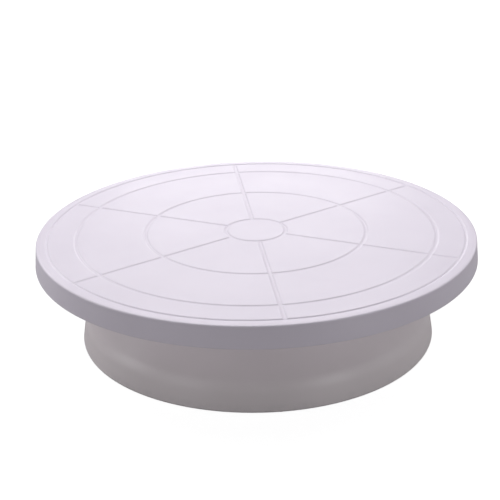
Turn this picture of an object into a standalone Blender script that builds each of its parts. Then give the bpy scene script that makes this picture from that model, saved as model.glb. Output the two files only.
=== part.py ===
"""Cake turntable.

A round plate spins on a caged ball race, on top of a bowl-shaped base that stands on rubber feet.
The part stands on Z = 0 and its spin axis is +Z. All sizes are in metres and angles in degrees.
"""

import math

import bmesh
import bpy
from mathutils import Matrix, Vector

# Clearances
SEAT_GAP = 0.0003        # between pieces that sit on or in each other
RUNNING_GAP = 0.0001     # radial play of the spindle in its bushes
SPIN_GAP = 0.0006        # axial play between spinning and standing faces
JOIN = 0.0008            # how far a rib runs into the wall that it grows from

# Plate
OVERALL_HEIGHT = 0.069
PLATE_DIAMETER = 0.280
DECK_THICKNESS = 0.0028
SKIRT_HEIGHT = 0.0138
SKIRT_WALL = 0.0024
SKIRT_DRAFT = 0.0012
EDGE_ROUND = 0.0012
EDGE_FALL = 0.0003
EDGE_LAND = 0.0014       # sloping land between the flat top and the rounded edge
SKIRT_FOOT_BEVEL = 0.0005
DECK_FILLET = 0.0015
PLATE_RIBS = 12
PLATE_RIB_WIDTH = 0.0018
PLATE_RIB_DEPTH = 0.004
HUB_RIBS = 6

# Guide lines sunk in the plate's top
CENTRE_RING_RADIUS = 0.0190
MIDDLE_RING_RADIUS = 0.0700
OUTER_RING_INSET = 0.0260     # from the plate's edge to the middle of the line
RIM_RING_INSET = 0.0080
LINE_WIDTH = 0.0030
LINE_DEPTH = 0.0005
RIM_LINE_WIDTH = 0.0022
RIM_LINE_DEPTH = 0.0006
LINE_WALL_RUN = 0.0008        # how far a line's wall leans over its depth
RADIAL_LINES = 6
RADIAL_LINE_DEPTH = 0.00055   # just under the rings, so that the floors never coincide

# Ball race
BALL_COUNT = 16
BALL_DIAMETER = 0.00635
PITCH_RADIUS = 0.048
RACE_WIDTH = 0.013
RACE_THICKNESS = 0.0020
RACE_GROOVE_DEPTH = 0.0010
RACE_RECESS = 0.0008
RACE_SEAT_DEPTH = 0.0032
RACE_LIP_WALL = 0.0016
RACE_LIP_DEPTH = 0.0012
SEAT_RIB_WIDTH = 0.0016
CAGE_WIDTH = 0.0095
CAGE_THICKNESS = 0.0020
POCKET_GAP = 0.0004

# Spindle, bushes and their fastening
HUB_RADIUS = 0.0150
HUB_DEPTH = 0.0060
SHANK_RADIUS = 0.0050
SHANK_LENGTH = 0.0036
COLLAR_RADIUS = 0.0075
COLLAR_THICKNESS = 0.0012
JOURNAL_RADIUS = 0.0040
BUSH_WALL = 0.0020
BUSH_LENGTH = 0.0110
BUSH_FLANGE_RADIUS = 0.0090
BUSH_FLANGE_THICKNESS = 0.0016
BUSH_SPACING = 0.0250    # from the seat of the upper flange to the seat of the lower one
THRUST_WASHER_RADIUS = 0.0085
THRUST_WASHER_THICKNESS = 0.0010
RETAINING_WASHER_RADIUS = 0.0080
RETAINING_WASHER_THICKNESS = 0.0015
SCREW_RADIUS = 0.0020
SCREW_LENGTH = 0.0110
SCREW_HEAD_RADIUS = 0.0040
SCREW_HEAD_HEIGHT = 0.0026
SCREW_SLOT_WIDTH = 0.0010
SCREW_SLOT_DEPTH = 0.0012
SCREW_SLOT_LENGTH = 0.0048

# Base
FOOT_RING_RADIUS = 0.1135
FOOT_RING_ROUND = 0.0016
FOOT_LEAN = 9.0
FOOT_BAND_TOP = 0.0120
WALL_LEAN = 36.0
SHOULDER_RADIUS = 0.0200
CROWN_RADIUS = 0.0100
BASE_WALL = 0.0024
BASE_DECK_THICKNESS = 0.0032
POST_WALL = 0.0030
POST_SKIRT = 0.0090      # how far the post reaches below the seat of the lower bush
BASE_RIBS = 6
BASE_RIB_WIDTH = 0.0020
BASE_RIB_DEPTH = 0.0060
FLANGE_WIDTH = 0.0120
FLANGE_THICKNESS = 0.0030

# Rubber feet
FOOT_COUNT = 6
FOOT_RADIUS = 0.0050
FOOT_PROTRUSION = 0.0006
FOOT_POCKET_DEPTH = 0.0014
FOOT_BEVEL = 0.0003

# Smoothness
LARGE_STEPS = 60
RACE_STEPS = 48
SMALL_STEPS = 24
SMOOTH_ANGLE = 30.0

# Heights that follow, from the plate down to the base
PLATE_RADIUS = PLATE_DIAMETER / 2
BALL_RADIUS = BALL_DIAMETER / 2
DECK_UNDERSIDE = OVERALL_HEIGHT - DECK_THICKNESS
SKIRT_FOOT = OVERALL_HEIGHT - SKIRT_HEIGHT
UPPER_SEAT = DECK_UNDERSIDE - RACE_SEAT_DEPTH
UPPER_RACE_FACE = UPPER_SEAT - SEAT_GAP - RACE_THICKNESS
BALL_HEIGHT = UPPER_RACE_FACE + RACE_GROOVE_DEPTH - SEAT_GAP - BALL_RADIUS
LOWER_RACE_FACE = 2 * BALL_HEIGHT - UPPER_RACE_FACE
LOWER_SEAT = LOWER_RACE_FACE - RACE_THICKNESS - SEAT_GAP
BASE_TOP = LOWER_SEAT + RACE_RECESS
BASE_UNDERSIDE = BASE_TOP - BASE_DECK_THICKNESS
HUB_FOOT = DECK_UNDERSIDE - HUB_DEPTH
POST_TOP = HUB_FOOT - SPIN_GAP - BUSH_FLANGE_THICKNESS - SEAT_GAP
LOWER_BUSH_SEAT = POST_TOP - BUSH_SPACING
POST_FOOT = LOWER_BUSH_SEAT - POST_SKIRT
LOWER_FLANGE_FACE = LOWER_BUSH_SEAT - SEAT_GAP - BUSH_FLANGE_THICKNESS
THRUST_WASHER_TOP = LOWER_FLANGE_FACE - SEAT_GAP
SPINDLE_END = THRUST_WASHER_TOP - THRUST_WASHER_THICKNESS
RETAINING_WASHER_TOP = SPINDLE_END - SEAT_GAP
SCREW_SEAT = RETAINING_WASHER_TOP - RETAINING_WASHER_THICKNESS - SEAT_GAP

# Radii that follow
BUSH_RADIUS = JOURNAL_RADIUS + RUNNING_GAP + BUSH_WALL
POST_BORE = BUSH_RADIUS + SEAT_GAP
COUNTERBORE = BUSH_FLANGE_RADIUS + SEAT_GAP
POST_RADIUS = COUNTERBORE + POST_WALL
RACE_INNER = PITCH_RADIUS - RACE_WIDTH / 2
RACE_OUTER = PITCH_RADIUS + RACE_WIDTH / 2
LIP_INNER = RACE_OUTER + SEAT_GAP
LIP_OUTER = LIP_INNER + RACE_LIP_WALL
GROOVE_RADIUS = BALL_RADIUS + SEAT_GAP
FOOT_CIRCLE = FOOT_RING_RADIUS - FLANGE_WIDTH / 2 - FOOT_RING_ROUND / 2
OUTER_RING_RADIUS = PLATE_RADIUS - OUTER_RING_INSET
RIM_RING_RADIUS = PLATE_RADIUS - RIM_RING_INSET


# Scene helpers

def clear_scene():
    for thing in list(bpy.data.objects):
        bpy.data.objects.remove(thing, do_unlink=True)


def new_collection(name):
    collection = bpy.data.collections.new(name)
    bpy.context.scene.collection.children.link(collection)
    return collection


def new_material(name, colour, roughness, metallic=0.0):
    material = bpy.data.materials.new(name)
    material.use_nodes = True
    shader = material.node_tree.nodes["Principled BSDF"]
    shader.inputs["Base Color"].default_value = (*colour, 1.0)
    shader.inputs["Roughness"].default_value = roughness
    shader.inputs["Metallic"].default_value = metallic
    return material


def add_object(name, mesh, collection, material=None):
    thing = bpy.data.objects.new(name, mesh)
    collection.objects.link(thing)
    if material:
        mesh.materials.append(material)
    return thing


def add_part(name, mesh, colour, roughness, metallic=0.0, parent=None):
    part = add_object(name, mesh, model, new_material(name, colour, roughness, metallic))
    part.parent = parent
    return part


def add_cutter(name, mesh):
    cutter = add_object(name, mesh, cutters)
    cutter.hide_render = True
    cutter.display_type = 'WIRE'
    return cutter


def combine(part, other, operation):
    boolean = part.modifiers.new(f"{operation.lower()}_{other.name}", 'BOOLEAN')
    boolean.object = other
    boolean.operation = operation
    boolean.solver = 'EXACT'


# Shape helpers

def arc(centre_x, centre_z, radius, start, end, segments):
    """Points on an arc in the X-Z plane; the angles turn from +X towards +Z."""
    points = []
    for index in range(segments + 1):
        angle = math.radians(start + (end - start) * index / segments)
        points.append((centre_x + radius * math.cos(angle), centre_z + radius * math.sin(angle)))
    return points


def flats_clear(radius, steps):
    """The radius of a faceted bore whose flats still clear a shaft of the given radius."""
    return radius / math.cos(math.pi / steps)


def turned_mesh(name, profile, steps):
    """A profile of (radius, height) points turned round +Z; it is closed unless it ends on the axis."""
    on_axis = profile[0][0] == 0 and profile[-1][0] == 0
    count = len(profile)
    edges = [(index, index + 1) for index in range(count - 1)]
    if not on_axis:
        edges.append((count - 1, 0))
    outline = bpy.data.meshes.new(name + "_profile")
    outline.from_pydata([(x, 0, z) for x, z in profile], edges, [])
    lathe = bpy.data.objects.new(name + "_lathe", outline)
    bpy.context.scene.collection.objects.link(lathe)
    screw = lathe.modifiers.new("turn", 'SCREW')
    screw.axis = 'Z'
    screw.angle = 2 * math.pi
    screw.steps = steps
    screw.render_steps = steps
    screw.use_merge_vertices = True
    screw.merge_threshold = 0.00001
    depsgraph = bpy.context.evaluated_depsgraph_get()
    mesh = bpy.data.meshes.new_from_object(lathe.evaluated_get(depsgraph))
    mesh.name = name
    bpy.data.objects.remove(lathe, do_unlink=True)
    bpy.data.meshes.remove(outline)
    smooth(mesh)
    return mesh


def smooth(mesh):
    mesh.shade_smooth()
    mesh.set_sharp_from_angle(angle=math.radians(SMOOTH_ANGLE))


def ring_profile(inner, outer, bottom, top):
    return [(inner, top), (outer, top), (outer, bottom), (inner, bottom)]


def radial_bars(name, count, first_angle, section):
    """Straight bars like spokes; section(x, side, level) moves the corners of one bar that lies on +X."""
    spokes = bmesh.new()
    for index in range(count):
        made = bmesh.ops.create_cube(spokes, size=2.0)
        for vert in made["verts"]:
            vert.co = section(vert.co.x > 0, 1 if vert.co.y > 0 else -1, vert.co.z > 0)
        turn = Matrix.Rotation(math.radians(first_angle + 360 * index / count), 4, 'Z')
        bmesh.ops.transform(spokes, matrix=turn, verts=made["verts"])
    mesh = bpy.data.meshes.new(name)
    spokes.to_mesh(mesh)
    spokes.free()
    return add_cutter(name, mesh)


def ring_of_cylinders(name, count, circle, radius, bottom, top, sides):
    """Upright cylinders evenly spaced on a circle, the first on +X."""
    pegs = bmesh.new()
    for index in range(count):
        turn = Matrix.Rotation(2 * math.pi * index / count, 4, 'Z')
        place = turn @ Matrix.Translation((circle, 0, (bottom + top) / 2))
        bmesh.ops.create_cone(pegs, cap_ends=True, segments=sides, radius1=radius, radius2=radius,
                              depth=top - bottom, matrix=place)
    mesh = bpy.data.meshes.new(name)
    pegs.to_mesh(mesh)
    pegs.free()
    return add_cutter(name, mesh)


# Plate

def ring_line(radius, width, depth):
    inner = radius - width / 2
    outer = radius + width / 2
    floor = OVERALL_HEIGHT - depth
    return [(inner, OVERALL_HEIGHT), (inner + LINE_WALL_RUN, floor),
            (outer - LINE_WALL_RUN, floor), (outer, OVERALL_HEIGHT)]


def plate_top_profile():
    points = [(0, OVERALL_HEIGHT)]
    for radius in (CENTRE_RING_RADIUS, MIDDLE_RING_RADIUS, OUTER_RING_RADIUS):
        points += ring_line(radius, LINE_WIDTH, LINE_DEPTH)
    points += ring_line(RIM_RING_RADIUS, RIM_LINE_WIDTH, RIM_LINE_DEPTH)
    shoulder = PLATE_RADIUS - SKIRT_DRAFT - EDGE_ROUND
    points.append((shoulder - EDGE_LAND, OVERALL_HEIGHT))
    points += arc(shoulder, OVERALL_HEIGHT - EDGE_FALL - EDGE_ROUND, EDGE_ROUND, 90, 0, 4)
    return points


def plate_skirt_profile():
    inner = PLATE_RADIUS - SKIRT_WALL
    return [(PLATE_RADIUS, SKIRT_FOOT + SKIRT_FOOT_BEVEL),
            (PLATE_RADIUS - SKIRT_FOOT_BEVEL, SKIRT_FOOT),
            (inner, SKIRT_FOOT),
            (inner - SKIRT_DRAFT, DECK_UNDERSIDE - DECK_FILLET),
            (inner - SKIRT_DRAFT - DECK_FILLET, DECK_UNDERSIDE)]


def plate_seat_profile():
    lip_foot = UPPER_SEAT - RACE_LIP_DEPTH
    outer_rib = RACE_OUTER - SEAT_RIB_WIDTH
    inner_rib = RACE_INNER + SEAT_RIB_WIDTH
    return [(LIP_OUTER, DECK_UNDERSIDE), (LIP_OUTER, lip_foot), (LIP_INNER, lip_foot),
            (LIP_INNER, UPPER_SEAT), (outer_rib, UPPER_SEAT), (outer_rib, DECK_UNDERSIDE),
            (inner_rib, DECK_UNDERSIDE), (inner_rib, UPPER_SEAT), (RACE_INNER, UPPER_SEAT),
            (RACE_INNER, DECK_UNDERSIDE)]


def plate_hub_profile():
    collar_bore = COLLAR_RADIUS + SEAT_GAP
    collar_seat = HUB_FOOT + COLLAR_THICKNESS + SEAT_GAP
    shank_bore = SHANK_RADIUS + SEAT_GAP
    shank_end = collar_seat + SHANK_LENGTH + SEAT_GAP
    return [(HUB_RADIUS, DECK_UNDERSIDE), (HUB_RADIUS, HUB_FOOT), (collar_bore, HUB_FOOT),
            (collar_bore, collar_seat), (shank_bore, collar_seat), (shank_bore, shank_end),
            (0, shank_end)]


def plate_ribs():
    def outer_rib(far, side, high):
        x = PLATE_RADIUS - SKIRT_WALL - SKIRT_DRAFT + JOIN if far else LIP_OUTER - JOIN
        z = DECK_UNDERSIDE + JOIN if high else DECK_UNDERSIDE - PLATE_RIB_DEPTH
        return Vector((x, side * PLATE_RIB_WIDTH / 2, z))

    def hub_rib(far, side, high):
        x = RACE_INNER + JOIN if far else HUB_RADIUS - JOIN
        z = DECK_UNDERSIDE + JOIN if high else UPPER_SEAT + SEAT_GAP
        return Vector((x, side * PLATE_RIB_WIDTH / 2, z))

    half_step = 180 / PLATE_RIBS
    return (radial_bars("plate_rib_bars", PLATE_RIBS, half_step, outer_rib),
            radial_bars("hub_rib_bars", HUB_RIBS, 180 / HUB_RIBS, hub_rib))


def radial_line_cutter():
    def line(far, side, high):
        x = RIM_RING_RADIUS if far else CENTRE_RING_RADIUS
        z = OVERALL_HEIGHT + RADIAL_LINE_DEPTH if high else OVERALL_HEIGHT - RADIAL_LINE_DEPTH
        half_width = LINE_WIDTH / 2 + (LINE_WALL_RUN if high else -LINE_WALL_RUN)
        return Vector((x, side * half_width, z))

    return radial_bars("radial_line_bars", RADIAL_LINES, 0, line)


def build_plate():
    profile = plate_top_profile() + plate_skirt_profile() + plate_seat_profile() + plate_hub_profile()
    mesh = turned_mesh("turntable_plate", profile, LARGE_STEPS)
    plate = add_part("turntable_plate", mesh, (0.86, 0.85, 0.88), 0.38)
    for bars in plate_ribs():
        combine(plate, bars, 'UNION')
    combine(plate, radial_line_cutter(), 'DIFFERENCE')
    return plate


# Ball race

def race_profile(face, seat, up):
    """A flat ring with a ball groove in its face; up is 1 where the seat is above the face."""
    reach = math.degrees(math.acos(abs(face - BALL_HEIGHT) / GROOVE_RADIUS))
    groove = arc(PITCH_RADIUS, BALL_HEIGHT, GROOVE_RADIUS, up * 90 - reach, up * 90 + reach, 4)
    if up > 0:
        return [(RACE_INNER, seat), (RACE_OUTER, seat), (RACE_OUTER, face)] + groove + [(RACE_INNER, face)]
    return [(RACE_INNER, face)] + groove + [(RACE_OUTER, face), (RACE_OUTER, seat), (RACE_INNER, seat)]


def build_races(plate, base):
    steel = ((0.62, 0.62, 0.63), 0.30, 1.0)
    upper = race_profile(UPPER_RACE_FACE, UPPER_RACE_FACE + RACE_THICKNESS, 1)
    lower = race_profile(LOWER_RACE_FACE, LOWER_RACE_FACE - RACE_THICKNESS, -1)
    add_part("upper_race", turned_mesh("upper_race", upper, RACE_STEPS), *steel, parent=plate)
    add_part("lower_race", turned_mesh("lower_race", lower, RACE_STEPS), *steel, parent=base)


def build_cage():
    """The ball cage's origin is on the spin axis, at the height of the balls' centres."""
    half = CAGE_THICKNESS / 2
    profile = ring_profile(PITCH_RADIUS - CAGE_WIDTH / 2, PITCH_RADIUS + CAGE_WIDTH / 2, -half, half)
    cage = add_part("ball_cage", turned_mesh("ball_cage", profile, RACE_STEPS), (0.05, 0.05, 0.06), 0.5)
    cage.location.z = BALL_HEIGHT
    pockets = ring_of_cylinders("ball_pockets", BALL_COUNT, PITCH_RADIUS, BALL_RADIUS + POCKET_GAP,
                                BALL_HEIGHT - CAGE_THICKNESS, BALL_HEIGHT + CAGE_THICKNESS, 16)
    combine(cage, pockets, 'DIFFERENCE')
    return cage


def build_balls(cage):
    """Each ball's origin is its centre, and its poles lie on the radial axis that it rolls about."""
    for index in range(BALL_COUNT):
        name = f"ball_{index + 1:02d}"
        sphere = bmesh.new()
        bmesh.ops.create_uvsphere(sphere, u_segments=10, v_segments=6, radius=BALL_RADIUS)
        mesh = bpy.data.meshes.new(name)
        sphere.to_mesh(mesh)
        sphere.free()
        mesh.shade_smooth()
        ball = add_part(name, mesh, (0.70, 0.70, 0.71), 0.12, 1.0, parent=cage)
        angle = 2 * math.pi * index / BALL_COUNT
        ball.location = (PITCH_RADIUS * math.cos(angle), PITCH_RADIUS * math.sin(angle), 0)
        ball.rotation_euler = (0, math.pi / 2, angle)


# Spindle and its fastening

def build_spindle(plate):
    collar_top = HUB_FOOT + COLLAR_THICKNESS
    tap = SCREW_RADIUS + SEAT_GAP
    tap_end = SCREW_SEAT + SCREW_LENGTH + SEAT_GAP
    profile = [(0, collar_top + SEAT_GAP + SHANK_LENGTH), (SHANK_RADIUS, collar_top + SEAT_GAP + SHANK_LENGTH),
               (SHANK_RADIUS, collar_top), (COLLAR_RADIUS, collar_top), (COLLAR_RADIUS, HUB_FOOT),
               (JOURNAL_RADIUS, HUB_FOOT), (JOURNAL_RADIUS, SPINDLE_END), (tap, SPINDLE_END),
               (tap, tap_end), (0, tap_end)]
    mesh = turned_mesh("spindle", profile, SMALL_STEPS)
    add_part("spindle", mesh, (0.60, 0.60, 0.61), 0.25, 1.0, parent=plate)


def build_bushes(base):
    bore = flats_clear(JOURNAL_RADIUS + RUNNING_GAP, SMALL_STEPS)
    upper_face = POST_TOP + SEAT_GAP + BUSH_FLANGE_THICKNESS
    upper = [(bore, upper_face), (BUSH_FLANGE_RADIUS, upper_face), (BUSH_FLANGE_RADIUS, POST_TOP + SEAT_GAP),
             (BUSH_RADIUS, POST_TOP + SEAT_GAP), (BUSH_RADIUS, POST_TOP - BUSH_LENGTH),
             (bore, POST_TOP - BUSH_LENGTH)]
    seat = LOWER_BUSH_SEAT - SEAT_GAP
    lower_end = LOWER_BUSH_SEAT + BUSH_LENGTH
    lower = [(bore, lower_end), (BUSH_RADIUS, lower_end), (BUSH_RADIUS, seat), (BUSH_FLANGE_RADIUS, seat),
             (BUSH_FLANGE_RADIUS, LOWER_FLANGE_FACE), (bore, LOWER_FLANGE_FACE)]
    for name, profile in (("upper_bush", upper), ("lower_bush", lower)):
        add_part(name, turned_mesh(name, profile, SMALL_STEPS), (0.80, 0.79, 0.74), 0.45, parent=base)


def build_washers(plate, base):
    bore = flats_clear(JOURNAL_RADIUS + RUNNING_GAP, SMALL_STEPS)
    thrust = ring_profile(bore, THRUST_WASHER_RADIUS, SPINDLE_END, THRUST_WASHER_TOP)
    retaining = ring_profile(SCREW_RADIUS + SEAT_GAP, RETAINING_WASHER_RADIUS,
                             RETAINING_WASHER_TOP - RETAINING_WASHER_THICKNESS, RETAINING_WASHER_TOP)
    mesh = turned_mesh("thrust_washer", thrust, SMALL_STEPS)
    add_part("thrust_washer", mesh, (0.80, 0.79, 0.74), 0.45, parent=base)
    mesh = turned_mesh("retaining_washer", retaining, SMALL_STEPS)
    add_part("retaining_washer", mesh, (0.62, 0.62, 0.63), 0.30, 1.0, parent=plate)


def build_screw(plate):
    """A pan head screw, driven up from below, with a cross recess in its head."""
    head_foot = SCREW_SEAT - SCREW_HEAD_HEIGHT
    round_over = SCREW_HEAD_HEIGHT / 2
    profile = [(0, SCREW_SEAT + SCREW_LENGTH), (SCREW_RADIUS, SCREW_SEAT + SCREW_LENGTH),
               (SCREW_RADIUS, SCREW_SEAT), (SCREW_HEAD_RADIUS, SCREW_SEAT)]
    profile += arc(SCREW_HEAD_RADIUS - round_over, head_foot + round_over, round_over, 0, -90, 3)
    profile.append((0, head_foot))
    screw = add_part("retaining_screw", turned_mesh("retaining_screw", profile, SMALL_STEPS),
                     (0.62, 0.62, 0.63), 0.30, 1.0, parent=plate)

    def slot(far, side, high):
        x = (1 if far else -1) * SCREW_SLOT_LENGTH / 2
        z = head_foot + SCREW_SLOT_DEPTH if high else head_foot - SCREW_SLOT_DEPTH
        return Vector((x, side * SCREW_SLOT_WIDTH / 2, z))

    for name, angle in (("slot_bar_a", 0), ("slot_bar_b", 90)):
        combine(screw, radial_bars(name, 1, angle, slot), 'DIFFERENCE')


# Base

def bowl_outline(inset):
    """Down the bowl from its flat crown to the foot band, moved into the wall by inset."""
    lean = math.radians(WALL_LEAN)
    foot_lean = math.radians(FOOT_LEAN)
    band_foot_radius = FOOT_RING_RADIUS - FOOT_RING_ROUND * (1 - math.cos(foot_lean))
    band_foot_height = FOOT_PROTRUSION + FOOT_RING_ROUND * (1 + math.sin(foot_lean))
    band_top_radius = band_foot_radius - (FOOT_BAND_TOP - band_foot_height) * math.tan(foot_lean)
    shoulder_x = band_top_radius - SHOULDER_RADIUS * math.cos(foot_lean)
    shoulder_z = FOOT_BAND_TOP - SHOULDER_RADIUS * math.sin(foot_lean)
    crown_z = BASE_TOP - CROWN_RADIUS
    slope_rise = crown_z - shoulder_z - (SHOULDER_RADIUS - CROWN_RADIUS) * math.sin(lean)
    crown_x = (shoulder_x + (SHOULDER_RADIUS - CROWN_RADIUS) * math.cos(lean)
               - slope_rise * math.tan(lean))
    crown = arc(crown_x, crown_z, CROWN_RADIUS - inset, 90, WALL_LEAN, 4)
    shoulder = arc(shoulder_x, shoulder_z, SHOULDER_RADIUS - inset, WALL_LEAN, FOOT_LEAN, 4)
    return crown + shoulder


def cut_at_height(outline, height, lower=True):
    """The outline with all below the height (or above it) taken off, ending at that height."""
    kept = []
    for start, end in zip(outline, outline[1:]):
        keep_start = start[1] >= height if lower else start[1] <= height
        keep_end = end[1] >= height if lower else end[1] <= height
        if keep_start:
            kept.append(start)
        if keep_start != keep_end:
            share = (start[1] - height) / (start[1] - end[1])
            kept.append((start[0] + share * (end[0] - start[0]), height))
    last = outline[-1]
    if (last[1] >= height) == lower:
        kept.append(last)
    return kept


def base_profile():
    foot_round = arc(FOOT_RING_RADIUS - FOOT_RING_ROUND, FOOT_PROTRUSION + FOOT_RING_ROUND,
                     FOOT_RING_ROUND, FOOT_LEAN, -90, 3)
    inner = bowl_outline(BASE_WALL)
    ring_top = FOOT_PROTRUSION + FLANGE_THICKNESS
    inner_foot = inner[-1][0] + (inner[-1][1] - ring_top) * math.tan(math.radians(FOOT_LEAN))
    flange_inner = FOOT_RING_RADIUS - FLANGE_WIDTH
    recess_inner = RACE_INNER - SEAT_GAP
    recess_outer = RACE_OUTER + SEAT_GAP
    pad_edge = recess_outer + BASE_WALL
    top = [(POST_BORE, POST_TOP), (POST_RADIUS, POST_TOP), (POST_RADIUS, BASE_TOP),
           (recess_inner, BASE_TOP), (recess_inner, LOWER_SEAT),
           (recess_outer, LOWER_SEAT), (recess_outer, BASE_TOP)]
    ring = [(flange_inner, FOOT_PROTRUSION), (flange_inner, ring_top), (inner_foot, ring_top)]
    under = [(pad_edge, BASE_TOP - BASE_WALL), (pad_edge, BASE_UNDERSIDE), (POST_RADIUS, BASE_UNDERSIDE),
             (POST_RADIUS, POST_FOOT), (COUNTERBORE, POST_FOOT), (COUNTERBORE, LOWER_BUSH_SEAT),
             (POST_BORE, LOWER_BUSH_SEAT)]
    return top + bowl_outline(0) + foot_round + ring + inner[::-1] + under


def base_ribs():
    """Ribs from the post to the middle of the wall: a turned block, cut down to spokes."""
    foot = BASE_UNDERSIDE - BASE_RIB_DEPTH
    top = BASE_UNDERSIDE + JOIN
    middle = cut_at_height(bowl_outline(BASE_WALL / 2), foot)
    middle = cut_at_height(middle, top, lower=False)
    hub = POST_RADIUS - JOIN
    block = add_cutter("base_rib_block", turned_mesh("base_rib_block", [(hub, top)] + middle + [(hub, foot)],
                                                     LARGE_STEPS))

    def spoke(far, side, high):
        x = FOOT_RING_RADIUS if far else 0.0
        z = BASE_TOP if high else 0.0
        return Vector((x, side * BASE_RIB_WIDTH / 2, z))

    combine(block, radial_bars("base_rib_bars", BASE_RIBS, 180 / BASE_RIBS, spoke), 'INTERSECT')
    return block


def build_base():
    base = add_part("base_shell", turned_mesh("base_shell", base_profile(), LARGE_STEPS),
                    (0.84, 0.83, 0.86), 0.40)
    combine(base, base_ribs(), 'UNION')
    pocket_top = FOOT_PROTRUSION + FOOT_POCKET_DEPTH
    pockets = ring_of_cylinders("foot_pockets", FOOT_COUNT, FOOT_CIRCLE, FOOT_RADIUS + SEAT_GAP,
                                FOOT_PROTRUSION - FOOT_POCKET_DEPTH, pocket_top, SMALL_STEPS)
    combine(base, pockets, 'DIFFERENCE')
    return base


def build_feet(base):
    """Each foot's origin is at the middle of the face that it stands on."""
    height = FOOT_PROTRUSION + FOOT_POCKET_DEPTH - SEAT_GAP
    profile = [(0, height), (FOOT_RADIUS, height), (FOOT_RADIUS, FOOT_BEVEL),
               (FOOT_RADIUS - FOOT_BEVEL, 0), (0, 0)]
    for index in range(FOOT_COUNT):
        name = f"foot_{index + 1}"
        foot = add_part(name, turned_mesh(name, profile, SMALL_STEPS), (0.10, 0.10, 0.10), 0.85, parent=base)
        angle = 2 * math.pi * index / FOOT_COUNT
        foot.location = (FOOT_CIRCLE * math.cos(angle), FOOT_CIRCLE * math.sin(angle), 0)


clear_scene()
model = new_collection("cake_turntable")
cutters = new_collection("cutters")
base_shell = build_base()
turntable_plate = build_plate()
build_races(turntable_plate, base_shell)
build_balls(build_cage())
build_spindle(turntable_plate)
build_bushes(base_shell)
build_washers(turntable_plate, base_shell)
build_screw(turntable_plate)
build_feet(base_shell)
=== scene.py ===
"""Cake turntable: the finished look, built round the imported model.

Turned mouldings are drawn as an outline, point by point, and spun round the Z axis. Sizes are in metres.
"""

import math

import bmesh
import bpy
from mathutils import Matrix, Vector


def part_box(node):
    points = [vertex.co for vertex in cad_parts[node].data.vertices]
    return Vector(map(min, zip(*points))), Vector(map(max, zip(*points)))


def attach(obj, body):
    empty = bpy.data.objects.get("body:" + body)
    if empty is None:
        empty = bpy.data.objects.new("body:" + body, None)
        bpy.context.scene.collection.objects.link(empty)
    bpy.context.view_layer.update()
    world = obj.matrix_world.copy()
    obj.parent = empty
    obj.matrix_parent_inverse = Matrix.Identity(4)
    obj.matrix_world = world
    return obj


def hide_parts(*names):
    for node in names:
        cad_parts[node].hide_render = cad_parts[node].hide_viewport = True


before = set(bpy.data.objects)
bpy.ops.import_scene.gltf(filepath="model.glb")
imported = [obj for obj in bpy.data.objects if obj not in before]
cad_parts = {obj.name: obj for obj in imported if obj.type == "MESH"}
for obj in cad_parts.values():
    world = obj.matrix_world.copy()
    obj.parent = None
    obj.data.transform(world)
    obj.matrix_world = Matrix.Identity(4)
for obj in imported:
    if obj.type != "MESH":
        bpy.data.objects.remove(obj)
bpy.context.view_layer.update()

# Sizes read from the frame
plate_low, plate_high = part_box("turntable_plate")
base_low, base_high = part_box("base_shell")
PLATE_RADIUS = plate_high.x
PLATE_TOP = plate_high.z
SKIRT_FOOT = plate_low.z
FOOT_RING_RADIUS = base_high.x
POST_TOP = base_high.z
RING_FOOT = base_low.z
UPPER_RACE_LOW, UPPER_RACE_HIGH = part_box("upper_race")
LOWER_RACE_LOW, LOWER_RACE_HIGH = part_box("lower_race")
CAGE_LOW, CAGE_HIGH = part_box("ball_cage")
RACE_OUTER = UPPER_RACE_HIGH.x
BALL_COUNT = sum(name.startswith("ball_") and name[5:].isdigit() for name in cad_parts)
FOOT_COUNT = sum(name.startswith("foot_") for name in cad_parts)
BALL_LEVEL = (CAGE_LOW.z + CAGE_HIGH.z) / 2
BALL_RADIUS = (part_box("ball_01")[1].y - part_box("ball_01")[0].y) / 2

# Gaps, and the small fillets that moulded, pressed and turned edges share
SEAT_GAP = 0.0003
RUNNING_GAP = 0.0001
JOIN_DEPTH = 0.0006
HAIR_FILLET = 0.0001
FINE_FILLET = 0.0002
SMALL_FILLET = 0.0003
MEDIUM_FILLET = 0.0004
BROAD_FILLET = 0.0005
SOFT_FILLET = 0.0006

# Plate
DECK = 0.0028
PLATE_UNDER = PLATE_TOP - DECK
SKIRT_WALL = 0.0024
SKIRT_DRAFT = 0.0012
EDGE_ROUND = 0.0012
EDGE_FALL = 0.0003
EDGE_LAND = 0.0038
LAND_ROUND = 0.0040
SKIRT_ROOT_ROUND = 0.0015
LINE_WIDTH = 0.0030
LINE_DEPTH = 0.0005
RIM_LINE_WIDTH = 0.0022
RIM_LINE_DEPTH = 0.0006
LINE_WALL_RUN = 0.0008
LINE_FILLET = 0.0008
CENTRE_RING = 0.0190
MIDDLE_RING = 0.0700
OUTER_RING = PLATE_RADIUS - 0.0260
RIM_RING = PLATE_RADIUS - 0.0080
RADIAL_LINES = 6
PLATE_RIBS = 12
PLATE_RIB_WIDTH = 0.0018
PLATE_RIB_DEPTH = 0.0040
RIB_DRAFT = 0.0004
RIB_EDGE_STEPS = 3
HUB_RIBS = 6
HUB_RADIUS = 0.0150
HUB_DEPTH = 0.0060
HUB_FOOT = PLATE_UNDER - HUB_DEPTH
HUB_ROOT_ROUND = 0.0010

# Race seats
RACE_WIDTH = 0.0130
RACE_INNER = RACE_OUTER - RACE_WIDTH
PITCH_RADIUS = RACE_OUTER - RACE_WIDTH / 2
SEAT_RIB = 0.0016
LIP_WALL = 0.0016
LIP_INNER = RACE_OUTER + SEAT_GAP
LIP_OUTER = LIP_INNER + LIP_WALL
LIP_DEPTH = 0.0012
RACE_RECESS = 0.0008

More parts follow.
